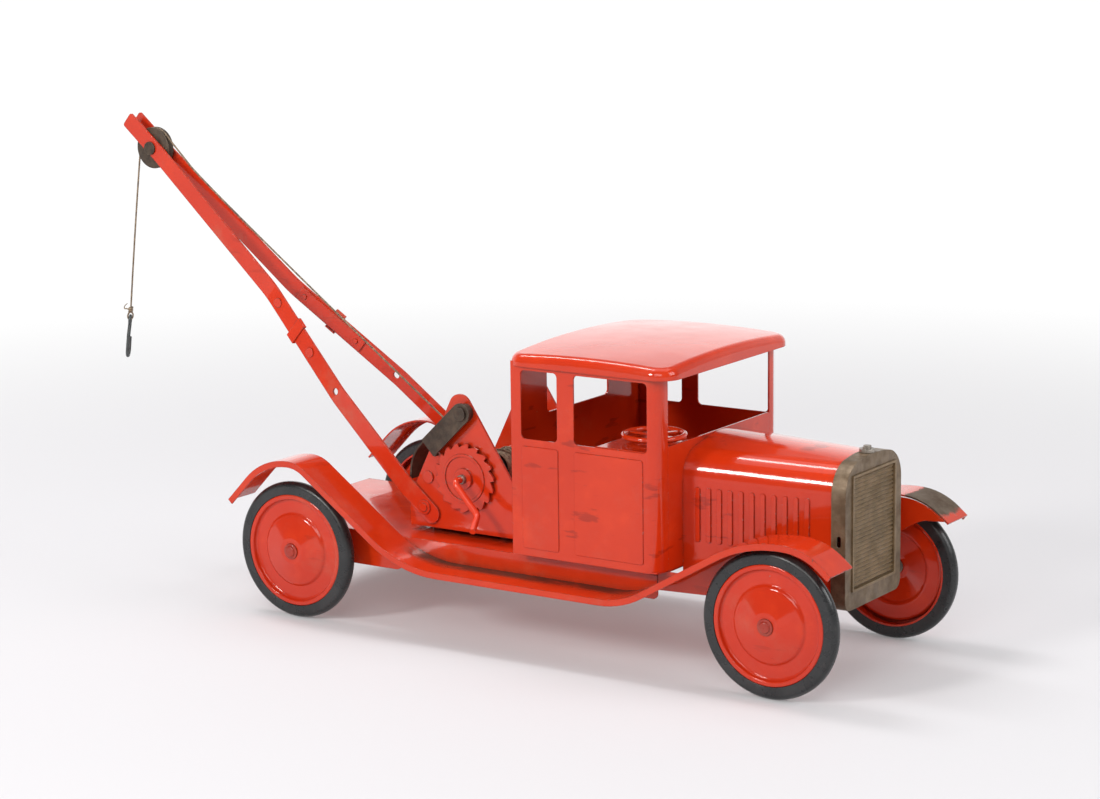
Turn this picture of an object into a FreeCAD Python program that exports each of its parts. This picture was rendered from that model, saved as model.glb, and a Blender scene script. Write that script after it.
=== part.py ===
import FreeCAD, Part
import math
import os
from FreeCAD import Vector, Rotation, Placement

# A pressed-steel toy tow truck, in millimetres. +X is the truck's front, +Z is up, and the ground
# is Z = 0. Lengths along the truck are counted from the rear axle, and every finished piece is
# then moved by rear_axle_x, which puts the origin under the middle of the whole toy.

SIZES = {
    # whole truck
    "rear_axle_x": -87.72, "wheelbase": 313.5, "axle_z": 40.0, "sheet_t": 1.0, "gap": 0.3,
    "fit": 0.04,
    # wheels
    "tyre_r": 40.0, "tyre_w": 7.4, "disc_r": 32.8, "disc_y": 72.5, "axle_r": 2.2, "cap_r": 4.6,
    # chassis
    "deck_z": 53.0, "deck_half": 54.5, "deck_rear": -42.0, "deck_front": 326.5,
    "rail_front": 236.0, "rail_drop": 33.0, "nose_half": 28.4,
    # fender strip
    "fender_in": 55.5, "fender_out": 79.0, "lip_drop": 3.6,
    # cab
    "cab_rear": 149.0, "cab_front": 242.5, "cab_half": 65.5, "cab_bottom": 56.0,
    "cab_top": 164.0, "sill_z": 121.5, "window_top": 159.5, "corner": 8.0, "pillar_in": 54.5,
    "shelf_z": 122.0, "shelf_rear": 202.0, "shelf_in": 22.0, "wheel_x": 224.0, "wheel_y": -38.5,
    "wheel_z": 126.0, "wheel_r": 16.6, "column_r": 1.6,
    # roof
    "roof_rear": 145.5, "roof_front": 250.5, "roof_half": 67.5, "roof_rim": 161.5,
    "roof_crown": 172.5, "crown_r": 667.0, "roof_corner": 12.0, "roof_edge": 5.0,
    # hood and radiator
    "hood_half": 30.5, "cowl_half": 39.5, "hood_bottom": 47.0, "hood_front": 328.2,
    "shell_rear": 328.4, "shell_front": 337.0, "shell_half": 31.6, "shell_bottom": 40.5, "grille_half": 24.5,
    "grille_low": 50.0, "grille_top": 113.0,
    # winch
    "plate_y": 36.3, "plate_t": 1.4, "plate_bottom": 55.8, "shaft_x": 98.7, "shaft_z": 87.5,
    "shaft_r": 2.6, "drum_r": 7.0, "wound_r": 9.5, "flange_r": 15.0, "ratchet_r": 20.3,
    "pawl_x": 98.9, "pawl_z": 125.2, "pawl_deg": 223.6, "pawl_pin_r": 2.4,
    # boom
    "pivot_x": 70.0, "pivot_z": 67.5, "boom_deg": 40.2, "boom_w": 11.6, "strip_t": 1.2,
    "rivet_r": 2.5, "pulley_u": 297.0, "pulley_w": 1.5, "pulley_r": 13.0, "groove_r": 11.0,
    "pulley_t": 5.8, "pin_r": 2.2, "head_r": 4.0,
    # cord and hook
    "cord_r": 0.6, "cord_lean": 7.5, "cord_drop": 104.0, "hook_r": 1.1,
}

doc = FreeCAD.newDocument("toy_tow_truck")
sheet = doc.addObject("Spreadsheet::Sheet", "Sizes")
for line, (alias, value) in enumerate(SIZES.items(), 1):
    sheet.set(f"A{line}", alias)
    sheet.set(f"B{line}", str(value))
    sheet.setAlias(f"B{line}", alias)
doc.recompute()

nodes = {}


def size(alias):
    """A driving dimension, read from the sheet."""
    return float(sheet.get(alias))


def rounded(points, closed=True):
    """Lines and tangent arcs through corners (a, b, radius), in a sketch's own plane."""
    count = len(points)
    starts, ends, arcs = [], [], []
    for i, (a, b, r) in enumerate(points):
        here = Vector(a, b, 0)
        last = i == 0 or i == count - 1
        if not r or (last and not closed):
            starts.append(here)
            ends.append(here)
            arcs.append(None)
            continue
        before = (Vector(*points[i - 1][:2], 0) - here).normalize()
        after = (Vector(*points[(i + 1) % count][:2], 0) - here).normalize()
        half = before.getAngle(after) / 2
        reach = r / math.tan(half)
        middle = (before + after).normalize() * (r / math.sin(half) - r)
        starts.append(here + before * reach)
        ends.append(here + after * reach)
        arcs.append(here + middle)
    made = []
    for i in range(count):
        if arcs[i] is not None:
            made.append(Part.Arc(starts[i], arcs[i], ends[i]))
        if i == count - 1 and not closed:
            break
        nxt = starts[(i + 1) % count]
        if ends[i].distanceToPoint(nxt) > 1e-6:
            made.append(Part.LineSegment(ends[i], nxt))
    return made


def beside(points, distance):
    """The same open path of (a, b, radius), moved sideways by distance, to its right."""
    lines = []
    for (a, b, _), (c, d, _) in zip(points, points[1:]):
        run = Vector(c - a, d - b, 0).normalize()
        shift = Vector(run.y, -run.x, 0) * distance
        lines.append((Vector(a, b, 0) + shift, Vector(c, d, 0) + shift, run))
    moved = [(lines[0][0].x, lines[0][0].y, 0)]
    for (start, _, run), (other, _, turn), (_, _, r) in zip(lines, lines[1:], points[1:]):
        cross = run.x * turn.y - run.y * turn.x
        along = ((other.x - start.x) * turn.y - (other.y - start.y) * turn.x) / cross
        corner = start + run * along
        moved.append((corner.x, corner.y, max(r + distance * math.copysign(1, cross), 0.2)))
    moved.append((lines[-1][1].x, lines[-1][1].y, 0))
    return moved


def ribbon(points, thickness):
    """Closed outline of a strip of sheet that follows an open path, on its right side."""
    return rounded(points + beside(points, thickness)[::-1])


def circle(a, b, r):
    return [Part.Circle(Vector(a, b, 0), Vector(0, 0, 1), r)]


def body_of(name):
    return doc.addObject("PartDesign::Body", name)


def sketch_in(body, plane, outlines, offset):
    """A sketch on one of the body's own origin planes, moved along the plane's normal."""
    sketch = body.newObject("Sketcher::SketchObject", body.Name + "Sketch")
    origin = [f for f in body.Origin.OriginFeatures if f.Role == plane][0]
    sketch.AttachmentSupport = [(origin, "")]
    sketch.MapMode = "FlatFace"
    sketch.setExpression("AttachmentOffset.Base.z", offset)
    for outline in outlines:
        sketch.addGeometry(outline, False)
    return sketch


def pad(body, plane, outlines, start, depth):
    """Adds a Pad. It runs from start by depth: along -Y on XZ, +X on YZ and +Z on XY."""
    feature = body.newObject("PartDesign::Pad", body.Name + "Pad")
    feature.Profile = sketch_in(body, plane, outlines, start)
    feature.setExpression("Length", depth)
    return feature


def pocket(body, plane, outlines, start, depth):
    """Cuts a Pocket from start by depth, the way a Pad on the same plane grows."""
    feature = body.newObject("PartDesign::Pocket", body.Name + "Pocket")
    feature.Profile = sketch_in(body, plane, outlines, start)
    feature.Reversed = True
    feature.setExpression("Length", depth)
    return feature


def spin(body, outline):
    """A full turn of an outline drawn on XY, about the Y axis."""
    feature = body.newObject("PartDesign::Revolution", body.Name + "Revolution")
    feature.Profile = sketch_in(body, "XY_Plane", [outline], "0")
    feature.ReferenceAxis = (feature.Profile[0], ["V_Axis"])
    feature.Angle = 360
    return feature


def rod(name, radius, length, middle, along=Vector(0, 1, 0)):
    """A Part::Cylinder centred on middle, which is three expressions."""
    made = doc.addObject("Part::Cylinder", name)
    made.setExpression("Radius", radius)
    made.setExpression("Height", length)
    made.Placement.Rotation = Rotation(Vector(0, 0, 1), along)
    for key, value, part in zip("xyz", middle, along):
        shift = f" - ({length}) / 2" if abs(part) > 0.5 else ""
        made.setExpression(f"Placement.Base.{key}", f"{value}{shift}")
    return made


def cut(name, base, *tools):
    """Base less each tool."""
    for i, tool in enumerate(tools):
        made = doc.addObject("Part::Cut", f"{name}Cut{i}")
        made.Base = base
        made.Tool = tool
        base = made
    return base


def fuse(name, *parts):
    made = doc.addObject("Part::MultiFuse", name + "Fuse")
    made.Shapes = list(parts)
    return made


def common(name, *parts):
    made = doc.addObject("Part::MultiCommon", name + "Common")
    made.Shapes = list(parts)
    return made


def feature(name, shape):
    """A piece that Part's own functions make from the sheet's sizes."""
    made = doc.addObject("Part::Feature", name + "Shape")
    made.Shape = shape
    return made


def keep(name, made, x="0", y="0", z="0"):
    """Makes an object a node, which its Label names, and stands it in the truck's own frame."""
    made.Label = name
    made.setExpression("Placement.Base.x", f"Sizes.rear_axle_x + {x}")
    made.setExpression("Placement.Base.y", y)
    made.setExpression("Placement.Base.z", z)
    nodes[name] = made
    return made


def pipe(points, radius):
    """A round bar along 3-D corners (x, y, z, bend radius): straight runs and tangent arcs."""
    spots = [Vector(*p[:3]) for p in points]
    edges, start = [], spots[0]
    for i in range(1, len(points) - 1):
        back = (spots[i - 1] - spots[i]).normalize()
        ahead = (spots[i + 1] - spots[i]).normalize()
        half = back.getAngle(ahead) / 2
        bend = points[i][3]
        reach = bend / math.tan(half)
        enter, leave = spots[i] + back * reach, spots[i] + ahead * reach
        middle = spots[i] + (back + ahead).normalize() * (bend / math.sin(half) - bend)
        if start.distanceToPoint(enter) > 1e-4:
            edges.append(Part.LineSegment(start, enter).toShape())
        edges.append(Part.Arc(enter, middle, leave).toShape())
        start = leave
    if start.distanceToPoint(spots[-1]) > 1e-4:
        edges.append(Part.LineSegment(start, spots[-1]).toShape())
    path = Part.Wire(edges)
    run = (spots[1] - spots[0]).normalize()
    ring = Part.Wire(Part.Circle(spots[0], run, radius).toShape())
    return path.makePipeShell([ring], True, True), path.Length


SIDES = (("right", -1), ("left", 1))
ENDS = (("rear", "0"), ("front", "Sizes.wheelbase"))
sheet_t = size("sheet_t")


def outward(inner, depth, sign):
    """Start of an XZ pad that covers inner to inner + depth on the chosen side."""
    return inner if sign < 0 else f"-({inner}) - ({depth})"


def across(half):
    """Start and depth of an XZ pad from one side to the other."""
    return f"-({half})", f"2 * ({half})"


def rectangle(a, b, c, d, r=0.0):
    return rounded([(a, b, r), (c, b, r), (c, d, r), (a, d, r)])


# ---------------------------------------------------------------- chassis and fenders

def make_deck():
    half, nose = size("deck_half"), size("nose_half")
    rear, step, front = size("deck_rear"), size("rail_front"), size("deck_front")
    deck = body_of("deck")
    outline = rounded([(rear, -half, 2), (step, -half, 0), (step, -nose, 0), (front, -nose, 0),
                       (front, nose, 0), (step, nose, 0), (step, half, 0), (rear, half, 2)])
    pad(deck, "XY_Plane", outline, "Sizes.deck_z - Sizes.sheet_t", "Sizes.sheet_t")
    keep("deck", deck)
    panel = body_of("rear_panel")
    outline = rectangle(-half, size("rail_drop") + 6, half, size("deck_z") - sheet_t, 3)
    pad(panel, "YZ_Plane", outline, "Sizes.deck_rear", "Sizes.sheet_t")
    keep("rear_panel", panel)


def make_rails():
    top, low, step = size("deck_z"), size("rail_drop"), size("rail_front")
    rear, wheelbase, axle = size("deck_rear"), size("wheelbase"), size("axle_z")
    hole = size("axle_r") + size("fit")
    skirt = [(rear, top, 0), (rear, low + 6, 3), (rear + 10, low, 4), (62, low, 6),
             (74, low + 6.5, 8), (step, low + 6.5, 3), (step, top, 0)]
    bracket = [(step + 0.3, top, 0), (step + 0.3, top - 8, 2), (wheelbase - 12, top - 8, 4),
               (wheelbase - 8, axle - 6, 5), (wheelbase + 8, axle - 6, 5),
               (wheelbase + 12, top - 8, 4), (size("deck_front"), top - 8, 0),
               (size("deck_front"), top, 0)]
    for side, sign in SIDES:
        rail = body_of("side_rail_" + side)
        pad(rail, "XZ_Plane", rounded(skirt) + circle(0, axle, hole),
            outward("Sizes.deck_half", "Sizes.sheet_t", sign), "Sizes.sheet_t")
        keep("side_rail_" + side, rail)
        rail = body_of("front_rail_" + side)
        pad(rail, "XZ_Plane", rounded(bracket) + circle(wheelbase, axle, hole),
            outward("Sizes.nose_half", "Sizes.sheet_t", sign), "Sizes.sheet_t")
        keep("front_rail_" + side, rail)


def make_fenders():
    # top line of the strip: rear arch, running board, front arch
    strip = [(-42.5, 66.5, 0), (-16, 94, 42), (9, 94, 22), (81.2, 42, 74), (226.6, 42, 52),
             (302.4, 86, 75), (338.5, 86, 38), (354, 73, 0)]
    # inner side of the front arch: it follows the strip, and its lower edge leaves the wheel free
    apron = [(236.5, 55.7, 0), (250.8, 55.7, 0), (302.4, 84.6, 73), (338.5, 84.6, 36), (351.6, 73.8, 0), (338, 73, 16),
             (316, 60, 24), (292, 47, 16), (236.5, 45, 0)]
    for side, sign in SIDES:
        fender = body_of("fender_strip_" + side)
        pad(fender, "XZ_Plane", ribbon(strip, sheet_t),
            outward("Sizes.fender_in", "Sizes.fender_out - Sizes.fender_in", sign),
            "Sizes.fender_out - Sizes.fender_in")
        pad(fender, "XZ_Plane", ribbon(strip, size("lip_drop")),
            outward("Sizes.fender_out - Sizes.sheet_t", "Sizes.sheet_t", sign), "Sizes.sheet_t")
        keep("fender_strip_" + side, fender)
        panel = body_of("front_apron_" + side)
        pad(panel, "XZ_Plane", rounded(apron),
            outward("Sizes.fender_in - Sizes.sheet_t", "Sizes.sheet_t", sign), "Sizes.sheet_t")
        keep("front_apron_" + side, panel)


# ---------------------------------------------------------------- wheels

def make_wheels():
    rim, plane, tyre = size("disc_r"), size("disc_y"), size("tyre_r")
    hub = size("axle_r") + size("fit")
    wide = size("tyre_w")
    # pressed disc from its bore out to the rim flange: (radius, height outward)
    face = [(hub, plane + 2.4, 0), (7.5, plane + 2.4, 3), (20.2, plane - 0.8, 3),
            (21.6, plane - 2.2, 1.2), (29.3, plane - 2.6, 1.5), (30.1, plane, 0.6),
            (rim, plane, 0.9), (rim, plane - wide, 0)]
    caps, washers = [], []
    for end, place in ENDS:
        for side, sign in SIDES:
            name = f"{end}_{side}"
            outline = [(r, sign * y, bend) for r, y, bend in face]
            if sign > 0:
                outline = ribbon(outline, 1.1)
            else:
                outline = rounded(outline + beside(outline, -1.1)[::-1])
            disc = body_of("wheel_disc_" + name)
            spin(disc, outline)
            keep("wheel_disc_" + name, disc, place, "0", "Sizes.axle_z")
            inner, outer = sign * (plane - wide), sign * plane
            ring = body_of("tyre_" + name)
            middle = (inner + outer) / 2
            spin(ring, rounded([(rim, inner, 0), (tyre - 1.6, inner, 2.4), (tyre, middle - 1.3 * sign, 3),
                                (tyre, middle + 1.3 * sign, 3), (tyre - 1.6, outer, 2.4),
                                (rim, outer, 0)]))
            keep("tyre_" + name, ring, place, "0", "Sizes.axle_z")
            cap = body_of("hub_cap_body_" + name)
            low = plane + 2.4 + size("gap")
            spin(cap, rounded([(0, sign * (low + 0.9), 0), (size("axle_r"), sign * (low + 0.9), 0),
                               (size("axle_r"), sign * low, 0), (size("cap_r"), sign * low, 0),
                               (size("cap_r"), sign * (low + 0.5), 0.3),
                               (size("cap_r") - 1.3, sign * (low + 0.6), 0.3),
                               (size("cap_r") - 1.6, sign * (low + 1.7), 1.0),
                               (0, sign * (low + 1.8), 0)]))
            cap.setExpression("Placement.Base.x", place)
            caps.append(cap)
        bar = rod(end + "_axle_bar", "Sizes.axle_r",
                  "2 * (Sizes.disc_y + 3.3 + Sizes.gap)", ("0", "0", "0"))
        keep(end + "_axle", bar, place, "-Sizes.disc_y - 3.3 - Sizes.gap", "Sizes.axle_z")
        bar.Placement.Rotation = Rotation(Vector(0, 0, 1), Vector(0, 1, 0))
        for side, sign in SIDES:
            spot = (place, f"{sign} * (Sizes.disc_y + 0.5)", "0")
            washers.append(cut(f"{end}_washer_{side}",
                               rod(f"{end}_washer_ring_{side}", "Sizes.axle_r + 2", "0.8", spot),
                               rod(f"{end}_washer_bore_{side}", "Sizes.axle_r", "2", spot)))
    keep("hub_caps", fuse("hub_caps", *caps), "0", "0", "Sizes.axle_z")
    keep("axle_washers", fuse("axle_washers", *washers), "0", "0", "Sizes.axle_z")


# ---------------------------------------------------------------- cab

def make_cab():
    rear, front, half = size("cab_rear"), size("cab_front"), size("cab_half")
    bottom, top, sill = size("cab_bottom"), size("cab_top"), size("sill_z")
    head, pillar, corner = size("window_top"), size("pillar_in"), size("corner")
    for side, sign in SIDES:
        wall = body_of("cab_side_" + side)
        path = [(rear, half, 0), (front, half, corner), (front, pillar, 0)]
        if sign < 0:
            path = [(a, -b, r) for a, b, r in path[::-1]]
        pad(wall, "XY_Plane", ribbon(path, sheet_t), "Sizes.cab_bottom",
            "Sizes.cab_top - Sizes.cab_bottom")
        panels = rectangle(156, bottom + 4.5, 179.5, sill - 4, 1.5)
        panels += rectangle(190, bottom + 4.5, 233.5, sill - 4, 1.5)
        pad(wall, "XZ_Plane", panels, outward("Sizes.cab_half", "0.5", sign), "0.5")
        windows = rectangle(155.5, sill, 179.0, head, 2.5) + rectangle(189.7, sill, 236.0, head, 2.5)
        pocket(wall, "XZ_Plane", windows, outward("Sizes.cab_half - 3", "6", sign), "6")
        keep("cab_side_" + side, wall)
    back = body_of("cab_back")
    pad(back, "YZ_Plane", rectangle(-half + sheet_t, bottom, half - sheet_t, top)
        + rectangle(-31.5, 129.5, 31.5, 155, 3), "Sizes.cab_rear", "Sizes.sheet_t")
    keep("cab_back", back)
    cowl = body_of("cab_front")
    pad(cowl, "YZ_Plane", rectangle(-pillar, bottom, pillar, 124, 1),
        "Sizes.cab_front - Sizes.sheet_t", "Sizes.sheet_t")
    keep("cab_front", cowl)
    floor = body_of("cab_floor")
    pad(floor, "XY_Plane", rectangle(rear + sheet_t, -half + sheet_t, front - sheet_t,
                                     half - sheet_t), "Sizes.cab_bottom", "Sizes.sheet_t")
    feet = rectangle(rear + 11, -50, front - 10, -46, 1) + rectangle(rear + 11, 46, front - 10, 50, 1)
    pad(floor, "XY_Plane", feet, "Sizes.deck_z", "Sizes.cab_bottom - Sizes.deck_z")
    keep("cab_floor", floor)
    shelf = body_of("dash_shelf")
    z, x = size("shelf_z"), size("shelf_rear")
    pad(shelf, "XZ_Plane", ribbon([(x, z - 6, 0), (x, z, 2), (front - sheet_t, z, 0)], sheet_t),
        outward("Sizes.shelf_in", "Sizes.cab_half - Sizes.sheet_t - Sizes.fit - Sizes.shelf_in", -1),
        "Sizes.cab_half - Sizes.sheet_t - Sizes.fit - Sizes.shelf_in")
    pocket(shelf, "XY_Plane", rectangle(front - corner, -half, front, corner - half),
           "Sizes.shelf_z - 8", "10")
    keep("dash_shelf", shelf)


def make_roof():
    rear, front, half = size("roof_rear"), size("roof_front"), size("roof_half")
    forms = []
    for name, inset, rim in (("outer", 0.0, 0.0), ("inner", 1.2, 5.0)):
        slab = body_of("roof_slab_" + name)
        corner = size("roof_corner") - inset
        pad(slab, "XY_Plane", rectangle(rear + inset, -half + inset, front - inset, half - inset, corner),
            f"Sizes.roof_rim - {rim}", f"20 + {rim}")
        dome = doc.addObject("Part::Sphere", "roof_dome_" + name)
        dome.setExpression("Radius", f"Sizes.crown_r - {inset}")
        dome.Placement.Base.x = (rear + front) / 2
        dome.setExpression("Placement.Base.z", "Sizes.roof_crown - Sizes.crown_r")
        form = common("roof_form_" + name, slab, dome)
        doc.recompute()
        rim_edges = [i for i, edge in enumerate(form.Shape.Edges, 1)
                     if edge.BoundBox.ZMin > size("roof_rim") + 3]
        soft = doc.addObject("Part::Fillet", "roof_soft_" + name)
        soft.Base = form
        radius = size("roof_edge") - inset
        soft.Edges = [(i, radius, radius) for i in rim_edges]
        forms.append(soft)
    keep("cab_roof", cut("cab_roof", *forms))


def make_steering():
    ring = doc.addObject("Part::Torus", "steering_ring")
    ring.setExpression("Radius1", "Sizes.wheel_r")
    ring.Radius2 = 1.5
    up = Vector(0, 0, 1)
    parts = [ring, rod("steering_hub", "4", "2.6", ("0", "0", "0"), up)]
    for i in range(3):
        spoke = doc.addObject("Part::Box", f"steering_spoke_{i}")
        spoke.setExpression("Length", "Sizes.wheel_r - 2.5")
        spoke.Width, spoke.Height = 2.6, 1.2
        turn = Rotation(up, 120 * i + 60)
        spoke.Placement = Placement(turn.multVec(Vector(2.5, -1.3, -0.6)), turn)
        parts.append(spoke)
    bore = rod("steering_bore", "Sizes.column_r + Sizes.fit", "6", ("0", "0", "0"), up)
    keep("steering_wheel", cut("steering_wheel", fuse("steering_wheel", *parts), bore),
         "Sizes.wheel_x", "Sizes.wheel_y", "Sizes.wheel_z")
    stem = rod("column_stem", "Sizes.column_r", "6.2", ("0", "0", "-0.9"), up)
    head = rod("column_head", "2.8", "0.8", ("0", "0", "2.0"), up)
    collar = rod("column_collar", "3.4", "2.3", ("0", "0", "-2.85"), up)
    keep("steering_column", fuse("steering_column", stem, head, collar),
         "Sizes.wheel_x", "Sizes.wheel_y", "Sizes.wheel_z")


# ---------------------------------------------------------------- hood and radiator

def make_hood():
    """A sheet arch, wider and higher at the cab than at the radiator, with louvres in its sides."""
    rear, front, low = size("cab_front"), size("hood_front"), size("hood_bottom")
    wide, narrow = size("cowl_half"), size("hood_half")
    ends = []
    for x, half, shoulder, crown, crown_bend in ((rear, wide, 117, 125.2, 60),
                                                 (front, narrow, 116.5, 121, 100)):
        arch = [(-half, low, 0), (-half, shoulder, 16), (0, crown, crown_bend),
                (half, shoulder, 16), (half, low, 0)]
        end = Part.Wire([line.toShape() for line in ribbon(arch, sheet_t)])
        end.Placement = Placement(Vector(x, 0, 0), Rotation(Vector(1, 1, 1), 120))
        ends.append(end)
    shape = Part.makeLoft(ends, True, True)
    first, pitch, louvre, raised, sunk = 250, 6.3, 2.8, 0.8, 0.5
    louvres = []
    for x in (first + pitch * i for i in range(11)):
        outline = Part.Wire([line.toShape() for line in rectangle(x, 70, x + louvre, 100, 1.2)])
        half = wide + (narrow - wide) * (x + louvre / 2 - rear) / (front - rear)
        for _, sign in SIDES:
            face = Part.Face(outline)
            face.Placement = Placement(Vector(0, sign * (half - sunk), 0), Rotation(Vector(1, 0, 0), 90))
            louvres.append(face.extrude(Vector(0, sign * (raised + sunk), 0)))
    keep("hood", feature("hood", shape.fuse(louvres)))


def make_radiator():
    half, low = size("shell_half"), size("shell_bottom")
    rear, front = size("shell_rear"), size("shell_front")
    wide, foot, head = size("grille_half"), size("grille_low"), size("grille_top")
    shell = body_of("radiator_shell")
    outline = [(-half, low, 6), (half, low, 6), (half, 117.7, 17), (0, 122, 90), (-half, 117.7, 17)]
    pad(shell, "YZ_Plane", rounded(outline), "Sizes.shell_rear", "Sizes.shell_front - Sizes.shell_rear")
    inner = [(a - 1.2 * math.copysign(1, a) if a else a, b - 1.2 if b > low else b + 1.2, r - 1.2)
             for a, b, r in outline]
    pocket(shell, "YZ_Plane", rounded(inner), "Sizes.shell_rear - 1",
           "Sizes.shell_front - Sizes.shell_rear - 0.2")
    pocket(shell, "YZ_Plane", rectangle(-wide, foot, wide, head, 1), "Sizes.shell_front - 4", "8")
    pocket(shell, "XZ_Plane", rectangle(rear + 3.4, 75.5, rear + 5.8, 81.5, 1.1),
           *across("Sizes.shell_half + 2"))
    keep("radiator_shell", shell)
    grille = body_of("grille")
    pad(grille, "YZ_Plane", rectangle(-wide, foot, wide, head, 1), "Sizes.shell_front - 2.4", "1.2")
    pad(grille, "YZ_Plane", rectangle(-wide, foot, wide, head, 1)
        + rectangle(-wide + 1.4, foot + 1.4, wide - 1.4, head - 1.4, 0.8),
        "Sizes.shell_front - 1.2", "2.0")
    fins = 26
    pitch = (head - foot - 3.2) / fins
    ripple = [(front - 1.3, foot + 1.6, 0)]
    for i in range(fins):
        ripple.append((front - 0.1, foot + 1.6 + (i + 0.5) * pitch, 0))
        ripple.append((front - 1.1, foot + 1.6 + (i + 1) * pitch, 0))
    ripple.append((front - 1.3, head - 1.6, 0))
    pad(grille, "XZ_Plane", rounded(ripple), *across("Sizes.grille_half - 1.6"))
    keep("grille", grille)
    up = Vector(0, 0, 1)
    parts = [rod("cap_disc", "4.2", "1.8", ("0", "0", "0.8"), up),
             rod("cap_knob", "1.9", "3.4", ("0", "0", "1.7"), up)]
    for name, spot in (("cap_ear_right", -2.6), ("cap_ear_left", 2.6)):
        parts.append(rod(name, "1.1", "2.8", ("0", str(spot), "1.6"), up))
    keep("radiator_cap", fuse("radiator_cap", *parts),
         "(Sizes.shell_rear + Sizes.shell_front) / 2", "0", "121.35")


# ---------------------------------------------------------------- winch

def make_winch_frame():
    x, z, bore = size("shaft_x"), size("shaft_z"), size("shaft_r") + size("fit")
    low = size("plate_bottom")
    outline = [(58.7, low, 1), (58.7, 72, 3), (94.04, 142.8, 7.5), (130, 88.3, 4), (130, low, 1)]
    for side, sign in SIDES:
        holes = circle(x, z, bore) + circle(72, 85, 2.4)
        holes += circle(size("pivot_x"), size("pivot_z"), size("rivet_r"))
        if side == "right":
            holes += circle(size("pawl_x"), size("pawl_z"), size("pawl_pin_r"))
        plate = body_of("winch_plate_" + side)
        pad(plate, "XZ_Plane", rounded(outline) + holes,
            outward("Sizes.plate_y", "Sizes.plate_t", sign), "Sizes.plate_t")
        keep("winch_plate_" + side, plate)
    base = body_of("winch_base")
    half = size("plate_y")
    pad(base, "XY_Plane", rectangle(59.7, -half, 129, half, 2), "Sizes.plate_bottom", "Sizes.plate_t")
    feet = []
    for a in (72, 118):
        for b in (-26, 26):
            feet += circle(a, b, 5)
    pad(base, "XY_Plane", feet, "Sizes.deck_z", "Sizes.plate_bottom - Sizes.deck_z")
    keep("winch_base", base)
    parts = [rod("tie_core", "2.4", "2 * (Sizes.plate_y + 2.2)", ("72", "0", "85"))]
    for side, sign in SIDES:
        parts.append(rod(f"tie_sleeve_{side}", "3.6", "1.0",
                         ("72", f"{sign} * (Sizes.plate_y + Sizes.plate_t + 0.5)", "85")))
    parts.append(rod("tie_spacer", "3.6", "2 * Sizes.plate_y", ("72", "0", "85")))
    keep("tie_rod", fuse("tie_rod", *parts))
    guard = body_of("drum_guard")
    pad(guard, "XZ_Plane", ribbon([(57.5, 82, 0), (58.5, 96, 24), (70, 108, 0)], sheet_t),
        outward("12", "Sizes.plate_y - 12", -1), "Sizes.plate_y - 12")
    keep("drum_guard", guard)


def make_drum():
    x, z, r = size("shaft_x"), size("shaft_z"), size("shaft_r")
    half = size("plate_y") - 3
    shaft = rod("winch_shaft_bar", "Sizes.shaft_r", "Sizes.plate_y + 3 + 44", ("0", "0", "0"))
    keep("winch_shaft", shaft, "Sizes.shaft_x", "-44", "Sizes.shaft_z")
    drum = body_of("drum")
    core, rim = size("drum_r"), size("flange_r")
    spin(drum, rounded([(r, -half, 0), (rim, -half, 0.5), (rim, -half + 1.2, 0.5),
                        (core, -half + 1.2, 1), (core, half - 1.2, 1), (rim, half - 1.2, 0.5),
                        (rim, half, 0.5), (r, half, 0)]))
    keep("drum", drum, "Sizes.shaft_x", "0", "Sizes.shaft_z")
    wound = body_of("drum_windings")
    spin(wound, rounded([(core, -9, 0), (size("wound_r"), -8, 0.6), (size("wound_r"), 8, 0.6),
                         (core, 9, 0)]))
    keep("drum_windings", wound, "Sizes.shaft_x", "0", "Sizes.shaft_z")
    wheel = body_of("ratchet_wheel")
    tip, teeth = size("ratchet_r"), 18
    outline = []
    for i in range(teeth):
        for turn, reach in ((0.0, tip - 2.3), (0.08, tip), (0.35, tip - 0.1)):
            angle = 2 * math.pi * (i + turn) / teeth
            outline.append((x + reach * math.cos(angle), z + reach * math.sin(angle), 0))
    pad(wheel, "XZ_Plane", rounded(outline) + circle(x, z, r), "39", "1.4")
    pad(wheel, "XZ_Plane", circle(x, z, 14.2) + circle(x, z, 12.6), "40.4", "0.7")
    pad(wheel, "XZ_Plane", circle(x, z, 6.0) + circle(x, z, r), "40.4", "1.6")
    keep("ratchet_wheel", wheel)
    bends = [(0, -44, 0, 0), (0, -50, 0, 3.6), (16.8, -51.5, -17, 4), (21.3, -63, -23.5, 0)]
    keep("crank", feature("crank", pipe(bends, 1.9)[0]), "Sizes.shaft_x", "0", "Sizes.shaft_z")


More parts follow.
